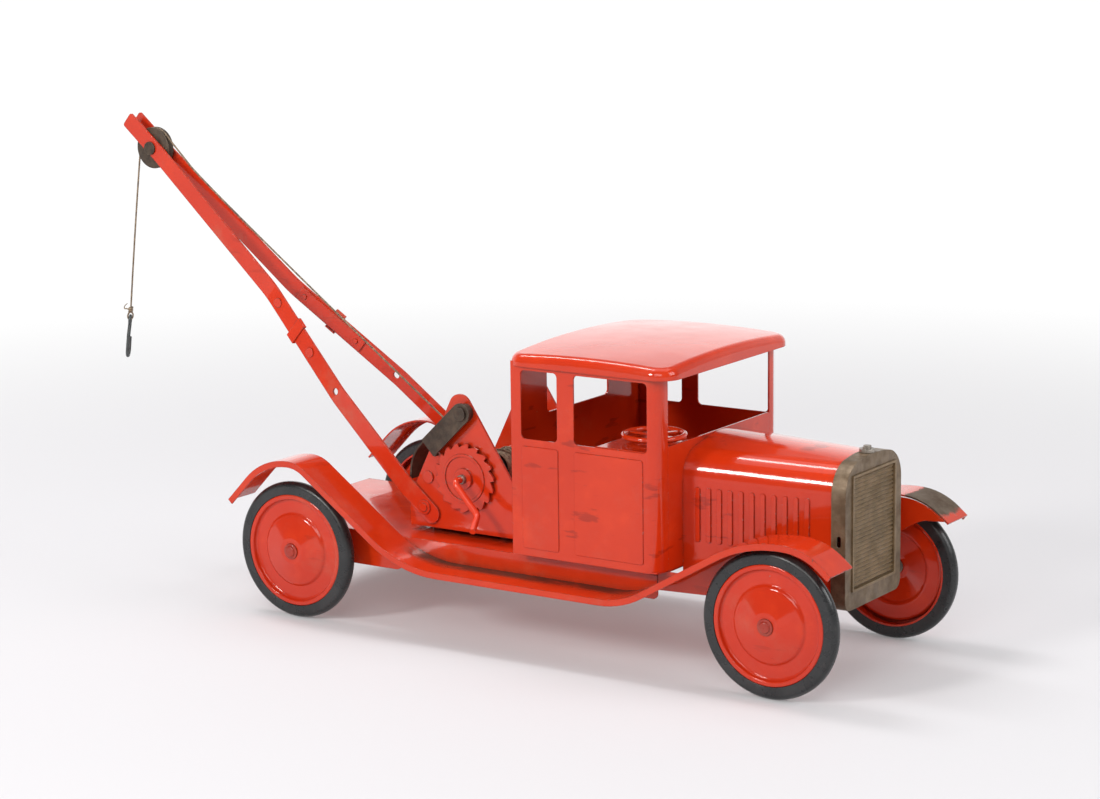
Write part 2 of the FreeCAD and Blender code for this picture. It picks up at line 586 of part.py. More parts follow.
def make_pawl():
    x, z = size("pawl_x"), size("pawl_z")
    turn = math.radians(size("pawl_deg"))
    ahead, down = Vector(math.cos(turn), math.sin(turn), 0), Vector(-math.sin(turn), math.cos(turn), 0)

    def spot(u, w, r=0):
        at = Vector(x, z, 0) + ahead * u + down * w
        return at.x, at.y, r

    blade = rounded([spot(-6, -6, 5.9), spot(32, -6, 1.2), spot(32, 6.6, 1.2), spot(27, 6, 2),
                     spot(-6, 6, 5.9)])
    pawl = body_of("pawl")
    pad(pawl, "XZ_Plane", blade + circle(x, z, size("pawl_pin_r") + size("fit")), "42.2", "1.2")
    tab = rounded([spot(30.6, -6, 0.4), spot(32, -6, 0.4), spot(32, 6.6, 0.4), spot(30.6, 6.6, 0.4)])
    pad(pawl, "XZ_Plane", tab, "39.4", "3.0")
    keep("pawl", pawl)
    parts = [rod("pawl_pin_core", "Sizes.pawl_pin_r", "44.4 - Sizes.plate_y + 0.6",
                 ("0", "-(44.4 + Sizes.plate_y - 0.6) / 2", "0")),
             rod("pawl_pin_head", "3.9", "0.9", ("0", "-44.15", "0")),
             rod("pawl_pin_collar", "5.2", "4.1", ("0", "-39.85", "0"))]
    keep("pawl_pin", fuse("pawl_pin", *parts), "Sizes.pawl_x", "0", "Sizes.pawl_z")


# ---------------------------------------------------------------- boom, in its own sloping frame

def slope(made):
    """Lays a piece of the boom on its slope: local X runs up the boom, local Z faces down."""
    turn = Rotation(Vector(0, 1, 0), 180 + size("boom_deg"))
    made.Placement = Placement(Vector(0, 0, 0), turn)
    return made


LEG = [(-11, 39.3, 0), (20, 39.3, 30), (88, 31, 60), (172, 11.3, 60), (290, 4.8, 60), (322, 4.8, 0)]
SPLICE_RIVETS = (122.0, 162.0)


def leg_path(sign, start=None, end=None):
    """Outer face of a leg in plan, as (distance up the boom, Y, bend radius)."""
    path = LEG if start is None else [start, end]
    return path if sign > 0 else [(u, -y, r) for u, y, r in path[::-1]]


def leg_face(u):
    """How far out the outer face of a leg is at u."""
    for (a, y, _), (b, v, _) in zip(LEG, LEG[1:]):
        if a <= u <= b:
            return y + (v - y) * (u - a) / (b - a)


def make_boom():
    thick, wide = size("strip_t"), size("boom_w")
    u, w = size("pulley_u"), size("pulley_w")
    for side, sign in SIDES:
        leg = body_of("boom_leg_" + side)
        pad(leg, "XY_Plane", ribbon(leg_path(sign), thick), "-Sizes.boom_w / 2", "Sizes.boom_w")
        trim = [(-60, -20, 0), (360, -20, 0), (360, 20, 0), (-60, 20, 0)]
        keep_in = [(-11, -wide / 2, 5.5), (-11, wide / 2, 5.5), (322, 5.0, 1.5), (322, -5.0, 1.5)]
        pocket(leg, "XZ_Plane", rounded(trim) + rounded(keep_in), *across("50"))
        holes = circle(0, 0, size("rivet_r")) + circle(u, w, size("pin_r")) + circle(91, 0, 2.0)
        for a in SPLICE_RIVETS:
            holes += circle(a, 0, 1.6)
        pocket(leg, "XZ_Plane", holes, *across("50"))
        keep("boom_leg_" + side, slope(leg), "Sizes.pivot_x", "0", "Sizes.pivot_z")
    # a doubler inside each leg, where its two strips meet, held by rivets and a bent clip
    low, high = 117.0, 166.5
    for side, sign in SIDES:
        splice = body_of("boom_splice_" + side)
        faces = [(low, leg_face(low) - thick - 0.02, 0), (high, leg_face(high) - thick - 0.02, 0)]
        pad(splice, "XY_Plane", ribbon(leg_path(sign, *faces), 1.2), "-4.4", "8.8")
        holes = circle(SPLICE_RIVETS[0], 0, 1.6) + circle(SPLICE_RIVETS[1], 0, 1.6)
        pocket(splice, "XZ_Plane", holes, *across("50"))
        keep("boom_splice_" + side, slope(splice), "Sizes.pivot_x", "0", "Sizes.pivot_z")
    clips = []
    for side, sign in SIDES:
        clip = body_of("boom_clip_" + side)
        outer = [(136, leg_face(136) + 1.0, 0), (143, leg_face(143) + 1.0, 0)]
        pad(clip, "XY_Plane", ribbon(leg_path(sign, *outer), thick + 1.0), "-7.0", "14.0")
        inner = [(130, leg_face(130) + 0.02, 0), (149, leg_face(149) + 0.02, 0)]
        pocket(clip, "XY_Plane", ribbon(leg_path(sign, *inner), thick + 3), "-5.95", "11.9")
        clips.append(clip)
    keep("boom_clips", slope(fuse("boom_clips", *clips)), "Sizes.pivot_x", "0", "Sizes.pivot_z")


def make_boom_pins():
    pins = []
    for side, sign in SIDES:
        pins.append(rod("pivot_core_" + side, "Sizes.rivet_r", "6.0", ("0", f"{sign} * 38", "0")))
        pins.append(rod("pivot_head_" + side, "4.2", "1.0", ("0", f"{sign} * 39.8", "0")))
        pins.append(rod("pivot_tail_" + side, "4.2", "0.8", ("0", f"{sign} * (Sizes.plate_y - 0.4)", "0")))
    keep("boom_pivot_rivets", fuse("boom_pivot_rivets", *pins), "Sizes.pivot_x", "0", "Sizes.pivot_z")
    rivets = []
    for i, u in enumerate(SPLICE_RIVETS):
        for side, sign in SIDES:
            middle = leg_face(u) - 1.1
            rivets.append(rod(f"spread_core_{side}_{i}", "1.6", "3.6", (str(u), str(sign * middle), "0")))
            rivets.append(rod(f"spread_head_{side}_{i}", "2.8", "0.8",
                              (str(u), str(sign * (leg_face(u) + 0.65)), "0")))
    keep("boom_rivets", slope(fuse("boom_rivets", *rivets)), "Sizes.pivot_x", "0", "Sizes.pivot_z")
    pin = [rod("pulley_pin_core", "Sizes.pin_r", "11.6", ("Sizes.pulley_u", "0", "Sizes.pulley_w"))]
    for side, sign in SIDES:
        pin.append(rod("pulley_pin_head_" + side, "Sizes.head_r", "1.2",
                       ("Sizes.pulley_u", f"{sign} * 5.4", "Sizes.pulley_w")))
    keep("pulley_pin", slope(fuse("pulley_pin", *pin)), "Sizes.pivot_x", "0", "Sizes.pivot_z")


def pulley_centre():
    """Centre of the pulley in the truck's XZ plane."""
    turn = math.radians(size("boom_deg"))
    u, w = size("pulley_u"), size("pulley_w")
    return Vector(size("pivot_x") - u * math.cos(turn) - w * math.sin(turn), 0,
                  size("pivot_z") + u * math.sin(turn) - w * math.cos(turn))


def make_pulley():
    r, groove, half = size("pulley_r"), size("groove_r"), size("pulley_t") / 2
    hub = size("pin_r") + size("fit")
    wheel = body_of("pulley")
    spin(wheel, rounded([(hub, -half, 0), (r - 4, -half, 1), (r, -half + 0.6, 0.4), (groove, 0, 0.8),
                         (r, half - 0.6, 0.4), (r - 4, half, 1), (hub, half, 0)]))
    centre = pulley_centre()
    keep("pulley", wheel, f"{centre.x}", "0", f"{centre.z}")


# ---------------------------------------------------------------- cord and hook

def make_cord():
    cord = size("cord_r")
    wound_side, slack_drop, slack_share = 7.5, 5.0, 0.85
    drum = Vector(size("shaft_x"), 0, size("shaft_z"))
    wheel = pulley_centre()
    under = size("wound_r") + cord + size("gap")
    over = size("groove_r") + cord + size("gap")
    gap = wheel - drum
    span = gap.Length
    ahead, up = gap / span, Vector(gap.z, 0, -gap.x) / span
    tilt = math.asin((under + over) / span)
    # pulled tight, the cord would leave the drum below and reach the pulley above
    tight = ahead * math.cos(tilt) + up * math.sin(tilt)
    above = Vector(tight.z, 0, -tight.x)
    if above.z < 0:
        above = -above
    leave = drum - above * under + Vector(0, wound_side, 0)
    # it is a little slack, so it hangs below that line on its way to the pulley
    slack = drum - above * (under + slack_drop) + tight * (span * math.cos(tilt) * slack_share)
    slack.y = wound_side * (1 - slack_share) / 3
    away = Vector(slack.x - wheel.x, 0, slack.z - wheel.z)
    turn = math.acos(over / away.Length)
    away.normalize()
    across_it = Vector(-away.z, 0, away.x)
    if across_it.z < 0:
        across_it = -across_it
    normal = away * math.cos(turn) + across_it * math.sin(turn)
    run = Vector(normal.z, 0, -normal.x)
    if run.x > 0:
        run = -run
    lean = math.radians(size("cord_lean"))
    down = Vector(-math.sin(lean), 0, -math.cos(lean))
    side = Vector(-math.cos(lean), 0, math.sin(lean))
    fall = wheel + side * over
    half = normal.getAngle(side) / 4
    far = over / math.cos(half)
    corners = [wheel + (normal * math.cos(t) + run * math.sin(t)) * far for t in (half, 3 * half)]
    print("cord points", [tuple(round(v, 3) for v in p) for p in (leave, slack, *corners, fall)])
    route = [(*leave, 0), (*slack, 150), (*corners[0], over), (*corners[1], over), (*fall, 0)]
    tube, length = pipe(route, cord)
    report("cord_run", tube, length, cord, route)
    keep("cord_run", feature("cord_run", tube))
    end = fall + down * size("cord_drop")
    route = [(*fall, 0), (*(fall + down * 48 + side * 0.7), 110), (*end, 0)]
    tube, length = pipe(route, cord)
    report("cord_hanging", tube, length, cord, route)
    keep("cord_hanging", feature("cord_hanging", tube))
    knot = Part.makeSphere(1.9, Vector(0, 0, 0))
    tail = pipe([(0, 0, 0, 0), (-1.6, 2.4, 1.6, 2), (-2.6, 3.9, 2.0, 0)], cord * 0.9)[0]
    at = end + down * 1.9
    keep("cord_knot", feature("cord_knot", knot.fuse(tail)), f"{at.x}", "0", f"{at.z}")
    make_hook(at + down * 5.8)


def report(name, tube, length, radius, route):
    """Prints a cord's radii, and its volume beside its section times its length."""
    section = math.pi * radius ** 2 * length
    bends = [round(point[3], 1) for point in route[1:-1]]
    print(f"{name}: length {length:.1f}, radii {bends}, volume {tube.Volume:.1f} of {section:.1f}")


def make_hook(eye):
    """A bent wire hook that hangs from an eye of its own, its plane turned across the truck."""
    wire = size("hook_r")
    ring = Part.makeTorus(2.6, 0.9, Vector(0, 0, 0), Vector(0, 1, 0))
    bends = [(0, 0, -2.4, 0), (3.4, 0, -9, 6), (4.3, 0, -22, 4.6), (-5, 0, -24.5, 4.4),
             (-4.4, 0, -12, 0)]
    shape = ring.fuse(pipe(bends, wire)[0])
    shape.rotate(Vector(0, 0, 0), Vector(0, 0, 1), 124 - 180)
    shape.rotate(Vector(0, 0, 0), Vector(0, 1, 0), size("cord_lean"))
    keep("hook", feature("hook", shape), f"{eye.x}", "0", f"{eye.z}")


for make in (make_deck, make_rails, make_fenders, make_wheels, make_cab, make_roof, make_steering,
             make_hood, make_radiator, make_winch_frame, make_drum, make_pawl, make_boom,
             make_boom_pins, make_pulley, make_cord):
    make()
doc.recompute()

for thing in doc.Objects:
    if {"Invalid", "Error"} & set(thing.State):
        raise RuntimeError(f"{thing.Name} did not recompute: {thing.State}")
os.makedirs("parts", exist_ok=True)
whole = None
for name, node in sorted(nodes.items()):
    shape = node.Shape
    if shape.isNull() or not shape.isValid() or not shape.Solids:
        raise RuntimeError(f"{name} has no valid solid")
    shape.exportStep(f"parts/{name}.step")
    if not name.startswith(("cord", "hook")):
        limits = shape.optimalBoundingBox()
        whole = limits if whole is None else whole.united(limits)
print(len(nodes), "nodes", [round(v, 2) for v in (whole.XMin, whole.XMax, whole.YMin, whole.YMax,
                                                  whole.ZMin, whole.ZMax)])
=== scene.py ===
import math

import bmesh
import bpy
from mathutils import Matrix, Vector


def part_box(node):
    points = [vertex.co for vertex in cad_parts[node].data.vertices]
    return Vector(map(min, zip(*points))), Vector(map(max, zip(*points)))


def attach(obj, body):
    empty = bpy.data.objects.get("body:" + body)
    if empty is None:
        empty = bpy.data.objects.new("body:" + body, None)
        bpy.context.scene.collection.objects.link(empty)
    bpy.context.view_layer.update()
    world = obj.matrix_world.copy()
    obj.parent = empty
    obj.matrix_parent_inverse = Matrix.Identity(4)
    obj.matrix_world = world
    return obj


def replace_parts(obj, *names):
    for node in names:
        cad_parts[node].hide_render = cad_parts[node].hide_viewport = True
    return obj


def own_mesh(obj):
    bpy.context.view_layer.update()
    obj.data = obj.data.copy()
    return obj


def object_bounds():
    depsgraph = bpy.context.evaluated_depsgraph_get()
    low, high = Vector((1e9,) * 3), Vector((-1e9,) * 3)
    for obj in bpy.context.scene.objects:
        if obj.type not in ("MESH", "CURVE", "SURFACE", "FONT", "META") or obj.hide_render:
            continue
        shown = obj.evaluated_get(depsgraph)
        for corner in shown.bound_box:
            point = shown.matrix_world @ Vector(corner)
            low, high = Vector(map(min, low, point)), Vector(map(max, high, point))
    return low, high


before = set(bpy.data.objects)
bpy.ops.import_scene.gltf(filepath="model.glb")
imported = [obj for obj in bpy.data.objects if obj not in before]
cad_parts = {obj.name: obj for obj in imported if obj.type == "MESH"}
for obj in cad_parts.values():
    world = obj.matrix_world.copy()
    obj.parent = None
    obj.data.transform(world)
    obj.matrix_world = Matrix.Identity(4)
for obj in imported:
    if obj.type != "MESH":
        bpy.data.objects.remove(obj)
cad_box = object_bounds()
scene = bpy.context.scene

# ---------------------------------------------------------------- camera

CAMERA_PLACE = Vector((0.94908, -1.3513, 0.4512))
CAMERA_YAW, CAMERA_PITCH, CAMERA_ROLL = (math.radians(a) for a in (123.84, -11.19, -0.73))
CAMERA_LENS, CAMERA_SENSOR = 95.68, 36


def make_camera():
    """A long lens that looks down a little at the truck's right side and front."""
    ahead = Vector((math.cos(CAMERA_YAW) * math.cos(CAMERA_PITCH),
                    math.sin(CAMERA_YAW) * math.cos(CAMERA_PITCH), math.sin(CAMERA_PITCH)))
    right = ahead.cross(Vector((0, 0, 1))).normalized()
    up = right.cross(ahead)
    across = right * math.cos(CAMERA_ROLL) + up * math.sin(CAMERA_ROLL)
    above = up * math.cos(CAMERA_ROLL) - right * math.sin(CAMERA_ROLL)
    data = bpy.data.cameras.new("camera")
    data.sensor_fit = "HORIZONTAL"
    data.sensor_width = CAMERA_SENSOR
    data.lens = CAMERA_LENS
    camera = bpy.data.objects.new("camera", data)
    scene.collection.objects.link(camera)
    turn = Matrix((across, above, -ahead)).transposed()
    camera.matrix_world = Matrix.Translation(CAMERA_PLACE) @ turn.to_4x4()
    scene.camera = camera


make_camera()


# ---------------------------------------------------------------- node materials

class Finish:
    """One procedural material, built a node at a time. Scales are per metre."""

    def __init__(self, name):
        self.material = bpy.data.materials.new(name)
        self.material.use_nodes = True
        self.tree = self.material.node_tree
        self.shader = self.tree.nodes["Principled BSDF"]
        self.place = self.add("ShaderNodeTexCoord").outputs["Object"]

    def add(self, kind, **settings):
        node = self.tree.nodes.new(kind)
        for name, value in settings.items():
            setattr(node, name, value)
        return node

    def feed(self, socket, value):
        if isinstance(value, bpy.types.NodeSocket):
            self.tree.links.new(value, socket)
        else:
            socket.default_value = value

    def noise(self, scale, detail=3, rough=0.6, stretch=(1, 1, 1)):
        """Noise with scale features a metre. A high stretch makes them short along that axis."""
        mapping = self.add("ShaderNodeMapping")
        self.feed(mapping.inputs["Vector"], self.place)
        mapping.inputs["Scale"].default_value = stretch
        node = self.add("ShaderNodeTexNoise")
        self.feed(node.inputs["Vector"], mapping.outputs["Vector"])
        node.inputs["Scale"].default_value = scale
        node.inputs["Detail"].default_value = detail
        node.inputs["Roughness"].default_value = rough
        return node.outputs["Fac"]

    def step(self, value, low, high, bottom=0.0, top=1.0):
        """Goes smoothly from bottom to top as value goes from low to high."""
        node = self.add("ShaderNodeMapRange", interpolation_type="SMOOTHSTEP")
        for name, given in (("Value", value), ("From Min", low), ("From Max", high),
                            ("To Min", bottom), ("To Max", top)):
            self.feed(node.inputs[name], given)
        return node.outputs["Result"]

    def patches(self, noise, low, high, bottom=0.0, top=1.0):
        """Patches of a noise, whose settings are given in a tuple, with edges from low to high."""
        return self.step(self.noise(*noise), low, high, bottom, top)

    def sum(self, operation, first, second):
        """Two values taken together by a math operation, kept from 0 to 1 unless multiplied."""
        node = self.add("ShaderNodeMath", operation=operation, use_clamp=operation != "MULTIPLY")
        self.feed(node.inputs[0], first)
        self.feed(node.inputs[1], second)
        return node.outputs["Value"]

    def blend(self, share, first, second):
        """The first colour where share is 0 and the second where it is 1."""
        node = self.add("ShaderNodeMix", data_type="RGBA")
        colours = [socket for socket in node.inputs if socket.type == "RGBA"]
        self.feed(node.inputs["Factor"], share)
        self.feed(colours[0], (*first, 1) if isinstance(first, tuple) else first)
        self.feed(colours[1], (*second, 1) if isinstance(second, tuple) else second)
        return next(socket for socket in node.outputs if socket.type == "RGBA")

    def along(self, axis):
        """The place along one axis of the truck, in metres."""
        node = self.add("ShaderNodeSeparateXYZ")
        self.feed(node.inputs["Vector"], self.place)
        return node.outputs[axis]

    def edges(self, radius, low=0.02, high=0.25):
        """A mask of the sheet's edges within a radius, and the normal that rounds them."""
        bevel = self.add("ShaderNodeBevel", samples=4)
        bevel.inputs["Radius"].default_value = radius
        dot = self.add("ShaderNodeVectorMath", operation="DOT_PRODUCT")
        self.feed(dot.inputs[0], bevel.outputs["Normal"])
        self.feed(dot.inputs[1], self.add("ShaderNodeNewGeometry").outputs["Normal"])
        bent = self.sum("SUBTRACT", 1.0, dot.outputs["Value"])
        return self.step(bent, low, high), bevel.outputs["Normal"]

    def bump(self, height, distance, normal=None, strength=1.0):
        """The normal of a height that ranges over a distance in metres, on top of another normal."""
        node = self.add("ShaderNodeBump")
        node.inputs["Strength"].default_value = strength
        node.inputs["Distance"].default_value = distance
        self.feed(node.inputs["Height"], height)
        if normal is not None:
            self.feed(node.inputs["Normal"], normal)
        return node.outputs["Normal"]

    def set(self, **sockets):
        """Feeds the shader's sockets, named with underscores, and gives the finished material."""
        for name, value in sockets.items():
            self.feed(self.shader.inputs[name.replace("_", " ")], value)
        return self.material


RED = (0.62, 0.036, 0.005)
RED_DEEP = (0.40, 0.012, 0.003)
RED_WARM = (0.76, 0.056, 0.008)
RED_STAIN = (0.16, 0.010, 0.005)
RUST = (0.070, 0.032, 0.018)
BARE = (0.24, 0.205, 0.17)
BROWN = (0.085, 0.055, 0.035)
DRAB = (0.15, 0.115, 0.085)
# the next colour darkens corners and the running boards' inner edges: painted shade, with grime in it
GRIME_AND_SHADE = (0.038, 0.024, 0.015)
DUST = (0.42, 0.16, 0.10)
RUBBER_BLACK = (0.014, 0.015, 0.016)
RUBBER_GREY = (0.028, 0.029, 0.030)
RUBBER_DUST = (0.10, 0.085, 0.075)
RUBBER_EDGE = (0.07, 0.065, 0.065)
STRING_DARK = (0.13, 0.085, 0.05)
STRING_LIGHT = (0.34, 0.25, 0.16)
STRING_STAIN = (0.08, 0.05, 0.035)

# the running boards' painted shade with grime in it, along their inner edge under the cab: from the inner
# edge out to here, and below this height
GROOVE_SHADE_GRIME_INNER, GROOVE_SHADE_GRIME_OUTER, GROOVE_SHADE_GRIME_TOP = 0.0620, 0.0690, 0.046


def chipped(paint, worn, wear):
    """A mask of chips: ragged along the worn edges, and small spots elsewhere."""
    ragged = paint.sum("MULTIPLY", worn, paint.noise(420, 6, 0.7))
    chips = paint.step(ragged, 0.66 - 0.3 * wear, 0.72 - 0.3 * wear)
    spots = paint.patches((210, 5, 0.65), 0.745 - 0.03 * wear, 0.76 - 0.03 * wear)
    return paint.sum("MAXIMUM", chips, spots)


def rubbed_bare(paint, start, full, tip):
    """A mask of paint rubbed off between two places along the truck, with a ragged border."""
    ragged = paint.sum("MULTIPLY", paint.noise(190, 6, 0.7), 0.012)
    place = paint.sum("ADD", paint.along("X"), ragged)
    return paint.sum("MULTIPLY", paint.step(place, start, full),
                     paint.step(place, tip, tip + 0.003, 1, 0))


def groove_shade_and_grime_mask(paint, side, inner, outer, top):
    """A mask of painted shade with grime in it, in the inner corner of a running board under the cab:
    side is -1 for right and 1 for left.
    """
    low_down = paint.step(paint.along("Z"), top, top + 0.006, 1, 0)
    near = paint.step(paint.sum("MULTIPLY", paint.along("Y"), side), inner, outer, 1, 0)
    return paint.sum("MULTIPLY", paint.sum("MULTIPLY", low_down, near),
                     paint.patches((45, 6, 0.7, (0.3, 1, 1)), 0.34, 0.52, 0.3, 1))


def enamel(name, colour=RED, wear=0.5, dust_and_shade=0.3, rough=0.09, bare=None, groove=None, rubs=0.2):
    """Old glossy enamel on sheet steel: uneven colour, worn edges, chips, scratches, and painted shade
    with some grime in the corners.

    bare is (start, full, tip) along X of paint rubbed off, and groove says where a running
    board gets painted shade with grime in it along its inner edge: (side, inner, outer, top).
    """
    paint = Finish(name)
    worn, rounded = paint.edges(0.0008)
    # uneven colour
    tone = paint.blend(paint.patches((14, 4), 0.35, 0.7, 0.28, 0), colour, RED_DEEP)
    tone = paint.blend(paint.patches((55, 5), 0.52, 0.78, 0, 0.35), tone, RED_WARM)
    tone = paint.blend(paint.patches((23, 6, 0.7), 0.52, 0.8, 0, dust_and_shade), tone, DUST)
    # hair scratches and rubbed stains, both level
    hair = paint.patches((130, 3, 0.5, (1, 1, 14)), 0.71, 0.735, 0, 0.5)
    tone = paint.blend(hair, tone, RED_DEEP)
    rub = paint.patches((38, 4, 0.55, (1, 1, 4)), 0.63, 0.70, 0, rubs)
    tone = paint.blend(rub, tone, RED_STAIN)
    # painted shade with some grime in the corners: darker where ambient occlusion finds nearby surfaces
    nook = paint.add("ShaderNodeAmbientOcclusion", samples=4, only_local=False)
    nook.inputs["Distance"].default_value = 0.007
    # the same setting that adds dust also deepens this painted shade
    sunk = paint.step(nook.outputs["AO"], 0.15, 0.75, dust_and_shade + 0.35, 0)
    shade_and_grime = paint.sum("MULTIPLY", sunk, paint.patches((160, 5), 0.3, 0.6, 0.35, 1))
    tone = paint.blend(shade_and_grime, tone, GRIME_AND_SHADE)
    # metal where the paint is off
    chips = chipped(paint, worn, wear)
    if bare is None:
        metal = paint.blend(paint.patches((150, 5), 0.42, 0.6), RUST, BARE)
    else:
        chips = paint.sum("MAXIMUM", chips, rubbed_bare(paint, *bare))
        metal = paint.blend(paint.patches((70, 6, 0.7), 0.35, 0.65), BROWN, DRAB)
    tone = paint.blend(chips, tone, metal)
    gloss = paint.patches((60, 5), 0.3, 0.75, rough, rough + 0.12)
    # painted shade with grime in it along the running board's inner edge, under the cab
    if groove is not None:
        groove_shade_and_grime = groove_shade_and_grime_mask(paint, *groove)
        tone = paint.blend(groove_shade_and_grime, tone, GRIME_AND_SHADE)
        gloss = paint.sum("ADD", gloss, paint.sum("MULTIPLY", groove_shade_and_grime, 0.3))
    gloss = paint.sum("ADD", gloss, paint.sum("MULTIPLY", chips, 0.45))
    whole = paint.sum("SUBTRACT", 1.0, chips)
    peel = paint.bump(paint.noise(900, 2), 0.00005, rounded, 0.4)
    dents = paint.bump(paint.noise(26, 2), 0.0010, peel, 0.45)
    normal = paint.bump(whole, 0.00010, dents)
    return paint.set(Base_Color=tone, Roughness=gloss, Normal=normal,
                     Coat_Weight=paint.sum("MULTIPLY", whole, 0.55), Coat_Roughness=0.03,
                     Specular_IOR_Level=0.2)


def patina(name, dark, light, rust=0.3, rough=0.42, metal=0.35):
    """Steel that has gone brown: mottled, rusty in spots and rubbed bright along its edges."""
    steel = Finish(name)
    worn, rounded = steel.edges(0.0006)
    tone = steel.blend(steel.patches((90, 6, 0.7), 0.35, 0.68), dark, light)
    tone = steel.blend(steel.patches((260, 5, 0.65), 0.52, 0.7, 0, rust), tone, RUST)
    rubbed = steel.sum("MULTIPLY", worn, steel.patches((300, 4), 0.4, 0.65, 0.1, 0.8))
    tone = steel.blend(rubbed, tone, BARE)
    gloss = steel.patches((150, 5), 0.3, 0.7, rough - 0.08, rough + 0.16)
    grain = steel.bump(steel.noise(700, 5, 0.7), 0.00012, rounded, 0.7)
    normal = steel.bump(steel.noise(70, 3), 0.0005, grain, 0.5)
    return steel.set(Base_Color=tone, Roughness=gloss, Normal=normal, Metallic=metal)


def tyre_rubber():
    """Black rubber with dust on it, greyer along its edges."""
    rubber = Finish("tyre_rubber")
    worn, rounded = rubber.edges(0.0007)
    tone = rubber.blend(rubber.patches((60, 5), 0.35, 0.7), RUBBER_BLACK, RUBBER_GREY)
    dusty = rubber.patches((180, 6, 0.7), 0.55, 0.8, 0, 0.35)
    tone = rubber.blend(dusty, tone, RUBBER_DUST)
    tone = rubber.blend(rubber.sum("MULTIPLY", worn, 0.25), tone, RUBBER_EDGE)
    gloss = rubber.patches((120, 4), 0.3, 0.7, 0.22, 0.40)
    normal = rubber.bump(rubber.noise(800, 4), 0.0001, rounded, 0.6)
    return rubber.set(Base_Color=tone, Roughness=gloss, Normal=normal)


def cotton():
    """Cotton string that has gone brown in places."""
    string = Finish("cotton_cord")
    tone = string.blend(string.patches((500, 4), 0.35, 0.7), STRING_DARK, STRING_LIGHT)
    tone = string.blend(string.patches((35, 3), 0.5, 0.7, 0, 0.5), tone, STRING_STAIN)
    normal = string.bump(string.noise(2500, 3), 0.0001, None, 0.8)
    return string.set(Base_Color=tone, Roughness=0.9, Normal=normal, Sheen_Weight=0.3)


CAB_RED = enamel("enamel_cab", wear=0.35, dust_and_shade=0.2, rubs=0.42)
ROOF_RED = enamel("enamel_roof", wear=0.3, dust_and_shade=0.12, rough=0.1, rubs=0.1)
FRAME_RED = enamel("enamel_frame", wear=0.6, dust_and_shade=0.35, rough=0.12)
BOOM_RED = enamel("enamel_boom", (0.64, 0.036, 0.008), wear=0.8, dust_and_shade=0.45, rough=0.15)
WHEEL_RED = enamel("enamel_wheels", (0.60, 0.030, 0.005), wear=0.4, dust_and_shade=0.25, rough=0.06)
CRANK_RED = enamel("enamel_crank", (0.80, 0.05, 0.012), wear=0.5, dust_and_shade=0.1, rough=0.2)
CAP_RED = enamel("enamel_hub", (0.34, 0.030, 0.016), wear=1.0, dust_and_shade=0.6, rough=0.3)
FENDER_NEAR = enamel("enamel_fender_right", wear=0.6, dust_and_shade=0.3, bare=(0.2725, 0.2735, 0.5),
                     groove=(-1, GROOVE_SHADE_GRIME_INNER, GROOVE_SHADE_GRIME_OUTER, GROOVE_SHADE_GRIME_TOP))
FENDER_FAR = enamel("enamel_fender_left", wear=0.6, dust_and_shade=0.3, bare=(0.2455, 0.2470, 0.2670),
                    groove=(1, GROOVE_SHADE_GRIME_INNER, GROOVE_SHADE_GRIME_OUTER, GROOVE_SHADE_GRIME_TOP))
BROWN_STEEL = patina("brown_steel", (0.11, 0.070, 0.036), (0.20, 0.140, 0.085), 0.15, 0.4, 0.35)
GRILLE_STEEL = patina("grille_steel", (0.16, 0.105, 0.050), (0.26, 0.175, 0.095), 0.15, 0.4, 0.35)
DARK_STEEL = patina("dark_steel", (0.035, 0.024, 0.017), (0.10, 0.068, 0.045), 0.4, 0.45, 0.3)
GREY_STEEL = patina("grey_steel", (0.20, 0.17, 0.14), (0.42, 0.38, 0.33), 0.5, 0.34, 0.7)
HOOK_STEEL = patina("hook_steel", (0.035, 0.042, 0.045), (0.10, 0.11, 0.11), 0.3, 0.4, 0.5)
RUBBER = tyre_rubber()
STRING = cotton()

LOOKS = {
    "tyre": RUBBER, "wheel_disc": WHEEL_RED, "hub_caps": CAP_RED, "axle_washers": GREY_STEEL,
    "front_axle": GREY_STEEL, "rear_axle": GREY_STEEL, "cab_": CAB_RED, "cab_roof": ROOF_RED,
    "dash_shelf": CAB_RED, "hood": CAB_RED, "steering": FRAME_RED, "radiator": BROWN_STEEL,
    "grille": GRILLE_STEEL, "radiator_cap": GREY_STEEL, "boom_leg": BOOM_RED,
    "boom_splice": BOOM_RED, "boom_clips": BOOM_RED, "boom_pivot_rivets": BOOM_RED,
    "boom_rivets": BOOM_RED, "pulley": DARK_STEEL, "pulley_pin": DARK_STEEL, "pawl": DARK_STEEL,
    "pawl_pin": DARK_STEEL, "drum_guard": DARK_STEEL, "tie_rod": FRAME_RED, "crank": CRANK_RED,
    "winch_shaft": GREY_STEEL, "drum": DARK_STEEL, "drum_windings": STRING, "cord_": STRING,
    "hook": HOOK_STEEL, "fender_strip_right": FENDER_NEAR, "fender_strip_left": FENDER_FAR,
}


def look_of(node):
    """The look whose name is the longest start of the node's own name."""
    found = [name for name in LOOKS if node.startswith(name)]
    return LOOKS[max(found, key=len)] if found else FRAME_RED


def paint_nodes():
    """Gives each CAD node its look."""
    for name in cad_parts:
        thing = bpy.data.objects[name]
        if not thing.material_slots:
            thing.data.materials.append(look_of(name))
        for one in thing.material_slots:
            one.material = look_of(name)


paint_nodes()


# ---------------------------------------------------------------- helpers for new pieces

ROUTE_STEPS = 24


def link(name, data, body):
    """A new piece of the object, which moves with a body."""
    piece = bpy.data.objects.new(name, data)
    scene.collection.objects.link(piece)
    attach(piece, body)
    return piece


